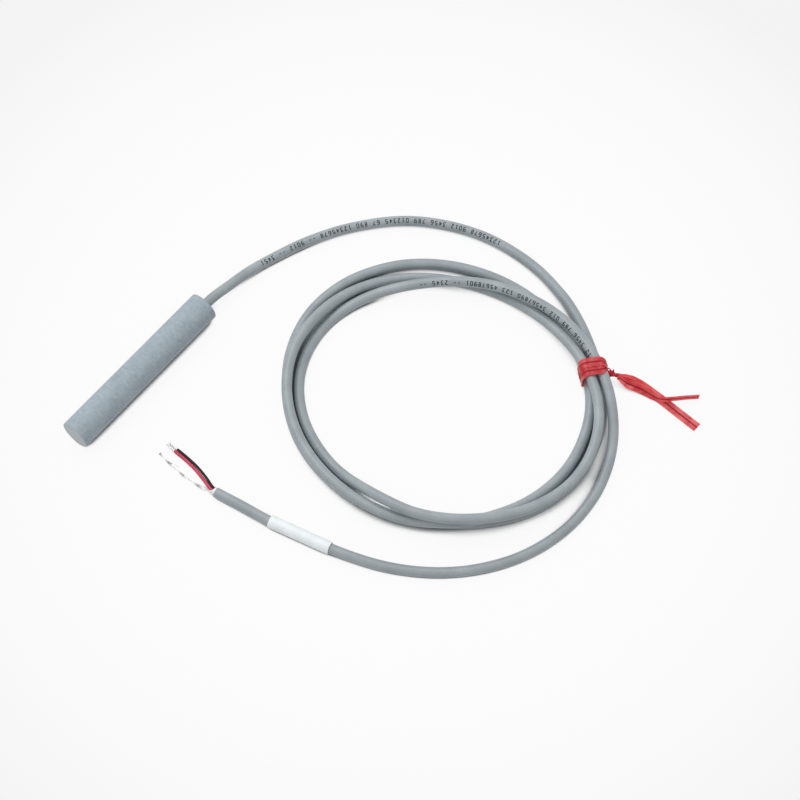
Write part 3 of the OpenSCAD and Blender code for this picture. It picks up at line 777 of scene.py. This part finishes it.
def barrelFinish():
    finish, tree, shader = startFinish("barrelPlastic", barrel)
    parts = addNode(tree, "SeparateXYZ", {"Vector": addNode(tree, "TexCoord").outputs["Object"]}).outputs
    lift = maths("SUBTRACT", parts["Z"], axisZ * mm)
    across = addNode(tree, "CombineXYZ", {"X": parts["Y"], "Y": lift}).outputs[0]
    radius = addNode(tree, "VectorMath", {0: across}, operation="LENGTH").outputs["Value"]
    onFace = maths("GREATER_THAN", parts["X"], (barrelHigh.x - barrel["faceEdge"]) * mm)
    run = addNode(tree, "Mix", {"Factor": onFace, 2: parts["X"], 3: radius}, data_type="FLOAT").outputs[0]
    around = maths("MULTIPLY", maths("ARCTAN2", parts["Y"], lift), axisZ * mm)

    def marks(size, detail, rough, shift):
        # tool marks that run round the barrel, or round its face
        a = maths("MULTIPLY", run, 1 / (size[0] * mm))
        b = maths("MULTIPLY", around, 1 / (size[1] * mm))
        place = addNode(tree, "CombineXYZ", {"X": a, "Y": b, "Z": shift}).outputs[0]
        return noiseOf(tree, place, 1.0, detail, rough)

    scratch = marks(barrel["lines"], detail=3, rough=0.6, shift=0.0)
    scuff = marks(barrel["scuffs"], detail=4, rough=0.65, shift=3.0)
    shadeAndUneven = marks(barrel["patches"], detail=3, rough=0.5, shift=7.0)
    streak = marks(barrel["streaks"], detail=2, rough=0.5, shift=11.0)
    streak = span(streak, 0, barrel["streakShare"], *barrel["streakTones"])
    tone = sums(sums(sums(scratch, scuff, share=0.8), shadeAndUneven, share=0.7), streak)
    share = span(tone, 0, 1, *barrel["tones"])
    side = tint(barrel["colour"], barrel["light"], share)
    flat = tint([c * barrel["faceDark"] for c in barrel["face"]], barrel["face"], share)
    height = sums(scratch, scuff, share=0.5)
    dress(shader, barrel, tint(side, flat, onFace), uneven=scratch, height=height, strength=0.6)
    return finish


barrelPiece = meshPiece("barrelShell", barrelShape(), barrelFinish(), sharp=35)
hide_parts("barrel")
print("barrel turned")

# marker sleeve: shrunk on, with uneven ends
sleeve = {
    "from": (44.3, 108.3),
    "to": (52, 79.7),
    "length": 26.4,
    "shift": -0.3,
    "radius": 2.65,
    "bore": 2.22,
    "sides": 56,
    "steps": 50,
    "boreSteps": 6,
    "corner": (0.03, 0.06),  # how far the outer corners are set back along and in
    "edge": 0.2,
    "inset": 0.1,
    "ragged": 0.22,
    "raggedReach": 2.0,
    "uneven": 0.035,
    "rates": (0.35, 1.3, 1.7),  # of the noise along the sleeve, at its ends and in its radius
    "look": lookOf((0.85, 0.89, 0.91), rough=0.42, blotch=5.0, vary=0.05, fine=0.4, bump=0.03),
}


def sleeveShape():
    lift = cableR + cable["sleeveLift"]
    a, b = [rear + Vector((*sleeve[end], lift)) for end in ("from", "to")]
    way = (b - a).normalized()
    start = (a + b) / 2 - way * (sleeve["length"] / 2 - sleeve["shift"])
    r, bore, length = sleeve["radius"], sleeve["bore"], sleeve["length"]
    steps, boreSteps, inset = sleeve["steps"], sleeve["boreSteps"], sleeve["inset"]
    back, down = sleeve["corner"]
    alongRate, endRate, swellRate = sleeve["rates"]
    rim = r - sleeve["edge"]
    outer = [(length * k / steps, r) for k in range(steps + 1)]
    outer[0], outer[-1] = (back, r - down), (length - back, r - down)
    profile = [(inset, bore), (0, rim)] + outer + [(length, rim), (length - inset, bore)]
    profile += [(mix(length, 0, k / boreSteps), bore) for k in range(1, boreSteps)] + [(inset, bore)]

    def wobble(k, angle):
        along, radius = profile[k]
        near = max(0, 1 - min(along, length - along) / sleeve["raggedReach"])
        spot = Vector((sin(angle), cos(angle), along * alongRate))
        swell = sleeve["uneven"] * noise.noise(spot * swellRate) if radius > bore + inset else 0
        return sleeve["ragged"] * near * noise.noise(spot * endRate), swell

    return lathe(profile, start, way, sleeve["sides"], wobble)


shrunk = plainFinish("sleeveFilm", sleeve["look"])
sleevePiece = meshPiece("markerSleeve", sleeveShape(), shrunk, sharp=50)
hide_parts("marker_sleeve")
print("sleeve shrunk on")

# tie: one ribbon with a wire in it; two wraps, a twisted neck and two tails, in mm
tie = {
    "width": 4.0,
    "thick": 0.16,
    "wire": 0.26,
    # where a section has its points, as shares of the half width
    "marks": [-1, -0.8, -0.6, -0.4, -0.22, -0.14, -0.07, 0, 0.07, 0.14, 0.22, 0.4, 0.6, 0.8, 1],
    "crumple": (0.3, 2, 0.45),  # share where it is flat, share for its curl, rate along the ribbon
    "creases": 1.4,
    "lowRidge": 0.9,  # the wire stands out less below
    "floorGap": 0.03,
    "turnAngle": 139.5,  # where the band sits on the coil
    "strands": [(60.45, 3.22), (60.55, 8.34), (55.25, 8.31), (55.2, 3.22)],  # out from the middle, up
    "clear": 0.32,
    "grow": 0.34,  # how much further out each wrap ends
    "quarterSteps": 15,
    # along the cable at the outer side, top, inner side and bottom
    "wraps": [(0.65, 1.7, 2.5, 0.9), (-0.3, -1.75, -1.4, 0.3)],
    "neckFrom": (-121.4, 141.6, 6.4),
    "neckTo": (-123.5, 144.9, 4.6),
    "neckTurns": 1.0,
    "neckSteps": 9,
    "neckKnot": 0.4,  # share of the neck's length at which it is thickest
    "neckCurl": -0.4,
    "neckRadius": (0.5, 0.85, 0.5),  # at the band, in the knot and at the tails
    "neckWidth": (1.7, 2.7, 1.9),
    # point, face direction, width, curl of the edges
    "flatTail": [
        ((-124.6, 146.5, 3.95), (-0.3, -0.1, 0.9), 2, 0.45),
        ((-125.7, 148.4, 3.25), (-0.25, -0.1, 0.95), 3.2, 0.3),
        ((-126.6, 150.4, 2.6), (-0.2, 0, 1), 3.9, 0.22),
        ((-127.45, 153, 1.9), (-0.1, 0.05, 1), 4, 0.16),
        ((-128, 156.6, 1.3), (-0.05, 0.05, 1), 4, 0.12),
        ((-128.35, 161, 0.75), (0, 0, 1), 4, 0.1),
        ((-128.5, 166.3, 0.48), (0, 0, 1), 4, 0.08),
        ((-128.42, 174, 0.42), (0, 0, 1), 4, 0.06),
        ((-128.37, 182.6, 0.42), (0, 0, 1), 4, 0.05)],
    "edgeTail": [
        ((-123.6, 146.4, 4), (0.4, 0, 0.9), 1.9, 0.45),
        ((-124, 148.4, 3.3), (0.45, 0.05, 0.85), 2.8, 0.45),
        ((-124.7, 150.9, 2.7), (0.6, 0.1, 0.75), 3.9, 0.35),
        ((-125.8, 154.2, 2.6), (0.7, 0.1, 0.65), 4, 0.2),
        ((-126.6, 158.8, 2.6), (0.8, 0.2, 0.5), 4, 0.1),
        ((-127.1, 162.9, 2.75), (0.85, 0.45, 0.25), 4, 0.06),
        ((-128.6, 165.6, 2.85), (0.66, 0.74, 0.06), 4, 0.05),
        ((-131.5, 168.3, 2.7), (0.64, 0.76, 0), 4, 0.04),
        ((-135, 171.4, 2.4), (0.64, 0.76, -0.02), 4, 0.04),
        ((-138.8, 175.1, 2.25), (0.66, 0.74, -0.02), 4, 0.04)],
    "knot": {"at": 0.38, "radius": 1.15, "width": 1.9, "curl": -0.25, "pitch": 0.9, "turns": 1.15,
             "steps": 16},
    "paintedLightSpots": [  # painted light: paler spots where light coming through the film and highlights are painted; point, reach
        ((-126.9, 166.5, 0.5), 2.6), ((-129.9, 160.5, 0.8), 1.9), ((-123.9, 147.6, 3.6), 1.3),
        ((-124.2, 151.4, 1.6), 1.5), ((-130, 172.5, 0.5), 2.4), ((-126.8, 175.5, 0.5), 2.4),
        ((-129.6, 180, 0.5), 2), ((-127.4, 156.5, 1.3), 1.5)],
    "spike": [
        ((-122.7, 143.2, 4.9), (0.3, 0.2, 0.9), 1.7, 0.4),
        ((-123.3, 143.1, 6), (0.4, 0.4, 0.8), 1.1, 0.4),
        ((-123.9, 142.9, 7), (0.4, 0.4, 0.8), 0.3, 0.2)],
    "strand": [
        ((-121.6, 140.3, 7.7), (-0.5, 0.5, 0.7), 0.6, 0.2),
        ((-122.8, 141.2, 7.1), (-0.5, 0.5, 0.7), 0.45, 0.2),
        ((-123, 142.5, 5.8), (-0.5, 0.5, 0.7), 0.6, 0.2)],
    "colour": (0.68, 0.035, 0.045),
    "pale": (1.0, 0.3, 0.31),
    "wireColour": (0.4, 0.014, 0.022),
    "through": (0.1, 0.5),  # share of light that goes through, at the wire and beside it
    "shine": (0.1, 0.5),
    "rough": 0.2,
    "roughness": (0.08, 0.15),
    "wireEdge": (0.11, 0.23),  # share of the half width over which the wire's finish fades
    "tones": (0.34, 0.85),
    "blotchSize": 2.5,
    "grainSize": 0.35,
    "bump": 0.03,
}


def ribbonSection(width, curl, crumple, seed):
    # flat strip with a wire ridge along its middle
    half, t, wire = width / 2, tie["thick"] / 2, tie["wire"]
    top, low = [], []
    for m in tie["marks"]:
        reach = abs(m) * tie["width"] / 2
        ridge = sqrt(max(wire ** 2 - reach ** 2, 0))
        bend = curl * half * m * m + crumple * noise.noise(Vector((m * tie["creases"], seed, 0.7)))
        top.append((m * half, bend + max(t, ridge)))
        low.append((m * half, bend - max(t, ridge * tie["lowRidge"])))
    return top + low[::-1]


def ribbonShape(keys, step, crumple=0.1, slack=1.6, spare=4):
    # a key holds a point, the way the face looks, the width and the curl
    points = [Vector(k[0]) for k in keys]
    path = throughPoints(points, step)
    stops = [0]  # the path's step next to each key
    for a, b in zip(points, points[1:]):
        furthest = stops[-1] + int(slack * (b - a).length / step) + spare
        reach = range(stops[-1] + 1, min(furthest, len(path)))
        stops.append(min(reach, key=lambda i: (path[i] - b).length) if reach else stops[-1])
    flatShare, curlShare, rate = tie["crumple"]
    faces, sections = [], []
    for i in range(len(path)):
        k = min(max(j for j in range(len(stops)) if stops[j] <= i), len(stops) - 2)
        t = easeInOut(min((i - stops[k]) / max(stops[k + 1] - stops[k], 1), 1))
        faces.append(Vector(keys[k][1]).normalized().lerp(Vector(keys[k + 1][1]).normalized(), t))
        width, curl = [mix(keys[k][c], keys[k + 1][c], t) for c in (2, 3)]
        rumple = crumple * (flatShare + abs(curl) * curlShare)
        sections.append(ribbonSection(width, curl, rumple, i * step * rate))
    verts, rings = sweep(framesOf(path, faces), sections)
    return [Vector((v.x, v.y, max(v.z, tie["floorGap"]))) for v in verts], rings


def neckLine():
    a, b = Vector(tie["neckFrom"]), Vector(tie["neckTo"])
    way = (b - a).normalized()
    return a, b, way, *aroundOf(way)


def neckKeys(phase):
    # one of the two ribbons twisted round each other next to the band
    a, b, way, side, up = neckLine()
    last, knotAt = tie["neckSteps"], tie["neckKnot"]
    keys = []
    for k in range(last + 1):
        turn = phase + 2 * pi * tie["neckTurns"] * k / last
        out = side * sin(turn) + up * cos(turn)
        first, t = (0, k / last / knotAt) if k / last < knotAt else (1, (k / last - knotAt) / (1 - knotAt))
        radius, width = [mix(tie[n][first], tie[n][first + 1], t) for n in ("neckRadius", "neckWidth")]
        keys.append((a.lerp(b, k / last) + out * radius, out, width, tie["neckCurl"]))
    return keys


def knotKeys():
    # one tight turn round the neck
    a, b, way, side, up = neckLine()
    knot = tie["knot"]
    keys = []
    for k in range(knot["steps"] + 1):
        share = k / knot["steps"]
        turn = 2 * pi * knot["turns"] * k / knot["steps"]
        out = side * sin(turn) + up * cos(turn)
        point = a.lerp(b, knot["at"]) + way * knot["pitch"] * (share - 0.5) + out * knot["radius"]
        keys.append((point, out, knot["width"], knot["curl"]))
    return keys


def bandKeys():
    # twice round the four strands, a little further out on the second wrap
    turn = radians(tie["turnAngle"])
    out = Vector((cos(turn), sin(turn), 0))
    along = Vector((sin(turn), -cos(turn), 0))
    middle = rear + Vector((*cable["middle"], 0))
    steps = tie["quarterSteps"]
    keys = []
    for wrap, marks in enumerate(tie["wraps"]):
        places = [*marks, tie["wraps"][min(wrap + 1, 1)][0]]
        radius = cableR + tie["clear"] + tie["grow"] * wrap
        for quarter in range(4):
            corner = tie["strands"][(quarter + 1) % 4]
            for k in range(steps):
                t = k / steps
                a = (quarter + t) * pi / 2
                reach = radius + tie["grow"] * (quarter + t) / 4
                shift = mix(places[quarter], places[quarter + 1], easeInOut(t))
                r, z = corner[0] + reach * cos(a), corner[1] + reach * sin(a)
                point = middle + out * r + along * shift + upright * z
                face = out * cos(a) + upright * sin(a)
                keys.append((point, face, tie["width"], 0.0))
    return keys


def tieFinish():
    finish, tree, shader = startFinish("tieRibbon", tie)
    blotch = grain(tree, tie["blotchSize"], detail=4)
    fine = grain(tree, tie["grainSize"])
    across, pale = markOf(tree, "across"), markOf(tree, "pale")

    def offWire(atWire, beside):
        return span(across, atWire, beside, *tie["wireEdge"])

    # painted light: the film turns paler by a random blotch and in the painted light spots
    paleness = span(sums(blotch, pale, share=0.5), 0, 1, *tie["tones"])
    film = tint(tie["colour"], tie["pale"], paleness)
    colour = tint(film, tie["wireColour"], offWire(1, 0))
    dress(shader, tie, colour, uneven=fine, height=fine, strength=0.5)
    feed(shader, "Specular IOR Level", offWire(*tie["shine"]))
    through = addNode(tree, "BsdfTranslucent", {"Color": (*tie["pale"], 1)})
    setSurface(tree.nodes["Material Output"], offWire(*tie["through"]), shader, through)
    return finish


# painted light: how near a place lies to a painted light spot
def paintedLightAt(place):
    return max(exp(-((place - Vector(at)).length / reach) ** 2) for at, reach in tie["paintedLightSpots"])


def makeTie():
    finish = tieFinish()
    shapes = {
        "tieBand": [ribbonShape(bandKeys(), step=0.5, crumple=0.02)],
        "tieFlatTail": [
            ribbonShape(neckKeys(0.0) + tie["flatTail"], step=0.35, crumple=0.13),
            ribbonShape(knotKeys(), step=0.3, crumple=0.3),
            ribbonShape(tie["spike"], step=0.2),
            ribbonShape(tie["strand"], step=0.25)],
        "tieEdgeTail": [ribbonShape(neckKeys(pi) + tie["edgeTail"], step=0.35, crumple=0.13)]}
    pieces = [meshPiece(n, joined(parts), finish, sharp=60) for n, parts in shapes.items()]
    ring = [abs(m) for m in tie["marks"]] * 2
    for piece in pieces:
        setMarks(piece, "across", ring * (len(piece.data.vertices) // len(ring)))  # how far from the wire
        setMarks(piece, "pale", [paintedLightAt(v.co / mm) for v in piece.data.vertices])
    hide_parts("tie_band")
    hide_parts("tie_flat_tail", "tie_neck")
    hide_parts("tie_edge_tail")
    return pieces


tiePieces = makeTie()
print("tie twisted")

# insides and the plug keep the frame's shapes and get their finishes by slot
insideLooks = {  # colour, rough, blotch, vary, fine, bump
    "plug_resin": lookOf((0.2, 0.215, 0.23), 0.45, 2.5, 0.15, 0.2, 0.03),
    "filled_epoxy": lookOf((0.62, 0.58, 0.45), 0.6, 1.5, 0.1, 0.12, 0.02),
    "piezo_ceramic": lookOf((0.66, 0.62, 0.52), 0.5, 1.5, 0.08, 0.1, 0.01),
    "damper_rubber": lookOf((0.045, 0.045, 0.05), 0.75, 2.0, 0.2, 0.15, 0.02),
    "copper": lookOf((0.72, 0.36, 0.2), 0.3, 0.6, 0.15, 0.08, 0.005, metal=1.0),
    "board": lookOf((0.02, 0.13, 0.05), 0.38, 3.0, 0.15, 0.3, 0.015),
    "chip_body": lookOf((0.025, 0.025, 0.028), 0.6, 1.0, 0.2, 0.1, 0.01),
    "tinned_metal": lookOf((0.62, 0.62, 0.6), 0.3, 0.8, 0.12, 0.1, 0.01, metal=1.0),
    "capacitor_body": lookOf((0.5, 0.3, 0.08), 0.45, 1.0, 0.15, 0.1, 0.01),
    "potting_resin": lookOf((0.05, 0.05, 0.058), 0.4, 3.0, 0.2, 0.25, 0.02),
    "cable_jacket": lookOf(cable["colour"], 0.5, 4.0, 0.08, 0.2, 0.02),
    "anchor_nylon": lookOf((0.72, 0.71, 0.66), 0.5, 2.0, 0.06, 0.15, 0.01),
    "red_insulation": leads["redLook"],
    "black_insulation": leads["blackLook"],
}


def dressInsides():
    made = {}
    for part in frame["record"]["subparts"]:
        node, slot = nodes[part["node"]], part["material_slot"]
        if node.hide_render:  # a drawn piece stands for it
            continue
        if slot not in made:
            made[slot] = plainFinish("inside_" + slot, insideLooks[slot])
        node.data.materials.clear()
        node.data.materials.append(made[slot])
    print("insides:", len(made), "finishes")


dressInsides()

# floor, light and sky
studio = {
    "floor": {"colour": (0.72, 0.722, 0.725), "rough": 0.7, "gloss": 0.2},
    "floorSize": 6.0,
    "floorDrop": 0.0001,
    "floorGlow": 0.92,  # share of plain white in the floor, as it is seen
    "uneven": 0.01,
    "unevenSize": 160,
    "shade": (0.26, 0.285, 0.305),  # painted shade: its colour in narrow gaps and close under things
    "corner": 0.09,  # painted light falloff: how much darker the floor's glow is at this reach from the view's middle
    "cornerReach": 0.23,
    "cornerPower": 4.0,
    "contact": 0.03,  # reach of the shade under things
    "contactSamples": 24,
    # open share of the sky at which the floor is dark and white, near the barrel
    "nearShade": (0.375, 0.49),
    "farShade": (0.1, 0.5),  # and out by the lead-out's bend
    "shadeStep": (-0.085, -0.1),  # where the one passes into the other, along the barrel
    "sky": (0.42, 0.88),  # away from and towards the bright side
    "brightSide": (-0.1, -0.58, 0.81),
    "skyFade": (-0.6, 1.0),
    "backdrop": 0.97,
    "keyPower": 13.5,
    "keySize": 1.3,
    "keyPlace": (-0.2, -0.95, 1.8),
    "keyTarget": (-0.05, 0.08, 0.0),
}


def seenRays(tree):
    # straight to the camera, in gloss or through clear film
    rays = addNode(tree, "LightPath").outputs
    seen = maths("MAXIMUM", rays["Is Camera Ray"], rays["Is Glossy Ray"])
    return maths("MAXIMUM", seen, rays["Is Transmission Ray"])


def makeFloor():
    half, down = studio["floorSize"] / 2, -studio["floorDrop"]
    mesh = bpy.data.meshes.new("floor")
    corners = [(-half, -half, down), (half, -half, down), (half, half, down), (-half, half, down)]
    mesh.from_pydata(corners, [], [(0, 1, 2, 3)])
    finish, tree, shader = startFinish("paleFloor", studio["floor"])
    place = addNode(tree, "TexCoord").outputs["Object"]
    behind = addNode(tree, "SeparateXYZ", {"Vector": place}).outputs["X"]
    shades = zip(studio["nearShade"], studio["farShade"])
    dark, clear = [span(behind, near, far, *studio["shadeStep"]) for near, far in shades]
    # painted shade: ambient occlusion darkens the floor's colour towards the shade colour and takes away
    # its white glow, in gaps and close under things
    contact = {"Distance": studio["contact"]}
    seen = addNode(tree, "AmbientOcclusion", contact, samples=studio["contactSamples"]).outputs["AO"]
    light = span(seen, 0, 1 - studio["uneven"], dark, clear)
    shadeAndUneven = sums(light, grain(tree, studio["unevenSize"], detail=2), studio["uneven"])
    feed(shader, "Base Color", tint(studio["shade"], studio["floor"]["colour"], shadeAndUneven))
    # painted light falloff: the floor's white glow is darker away from the view's middle
    middle = tuple(Vector(view["target"]) * mm)
    away = addNode(tree, "VectorMath", {0: place, 1: middle}, operation="DISTANCE").outputs["Value"]
    power = studio["cornerPower"]
    far = maths("POWER", away, power)
    level = span(far, 1, 1 - studio["corner"], 0, studio["cornerReach"] ** power)
    paper = addNode(tree, "Emission", {"Color": white, "Strength": level})
    shown = span(seen, 0, studio["floorGlow"], dark, clear, kind="SMOOTHSTEP")
    share = maths("MULTIPLY", seenRays(tree), shown)
    setSurface(tree.nodes["Material Output"], share, shader, paper)
    mesh.materials.append(finish)
    floor = addObject("floor", mesh)


def makeLight():
    data = bpy.data.lights.new("softKey", "AREA")
    data.shape = "DISK"
    data.size = studio["keySize"]
    data.energy = studio["keyPower"]
    lamp = addObject("softKey", data)
    lamp.location = studio["keyPlace"]
    lamp.rotation_euler = aimedAt(studio["keyPlace"], studio["keyTarget"])


def makeSky():
    sky = bpy.data.worlds.new("studioSky")
    sky.use_nodes = True
    scene.world = sky
    tree = sky.node_tree
    tree.nodes.clear()
    aim = {0: addNode(tree, "TexCoord").outputs["Generated"], 1: studio["brightSide"]}
    lean = addNode(tree, "VectorMath", aim, operation="DOT_PRODUCT").outputs["Value"]
    level = span(lean, *studio["sky"], *studio["skyFade"], kind="SMOOTHSTEP")
    levels = (level, studio["backdrop"])
    glow, backdrop = [addNode(tree, "Background", {"Color": white, "Strength": s}) for s in levels]
    setSurface(addNode(tree, "OutputWorld"), seenRays(tree), glow, backdrop)


makeFloor()
makeLight()
makeSky()
scene.view_settings.view_transform = "Standard"
print("studio lit")
